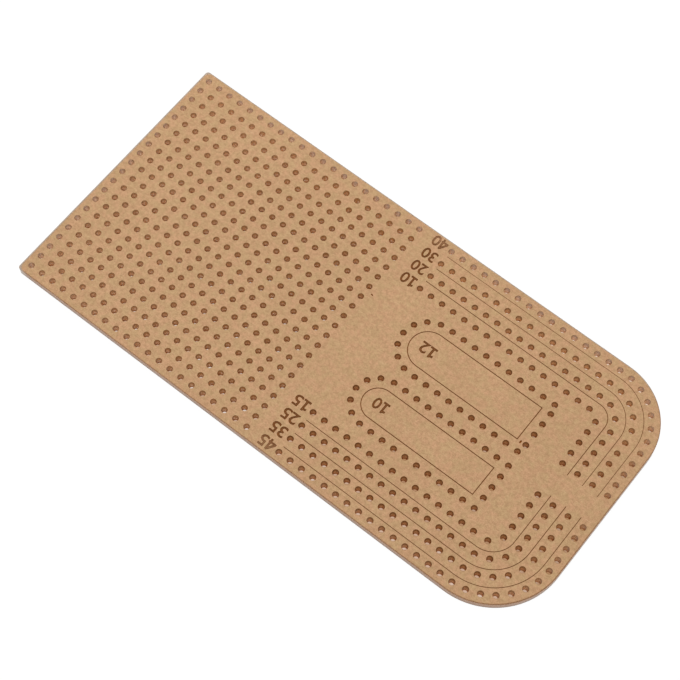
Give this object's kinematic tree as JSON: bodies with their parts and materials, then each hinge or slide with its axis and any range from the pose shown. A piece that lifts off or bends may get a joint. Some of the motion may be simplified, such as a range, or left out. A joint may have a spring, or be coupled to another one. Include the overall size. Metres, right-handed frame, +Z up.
{
  "type": "cutting ruler",
  "caption": "Flat perforated leather marking template with corner radius guides, a grid of holes and scored strap tongues, in kraft masked acrylic.",
  "frame": {"origin": "centre of the plate's box, on the underside that it lies on", "axes": "+X along the length towards the square end with the grid of holes, +Y across the width towards the side with the larger round corner, +Z up out of the front paper"},
  "size_m": [0.1762, 0.0856, 0.0032],
  "materials": {
    "clear_acrylic": "clear cast acrylic sheet with laser-cut edges and hole walls, polished by the cut and browned by smoke",
    "kraft_paper": "matt brown kraft masking paper, scorched at the cuts"
  },
  "bodies": {
    "root": {"acrylic_plate": "clear_acrylic", "front_masking_paper": "kraft_paper", "back_masking_paper": "kraft_paper", "tongue_12_paper": "kraft_paper", "tongue_10_paper": "kraft_paper"}
  },
  "joints": []
}
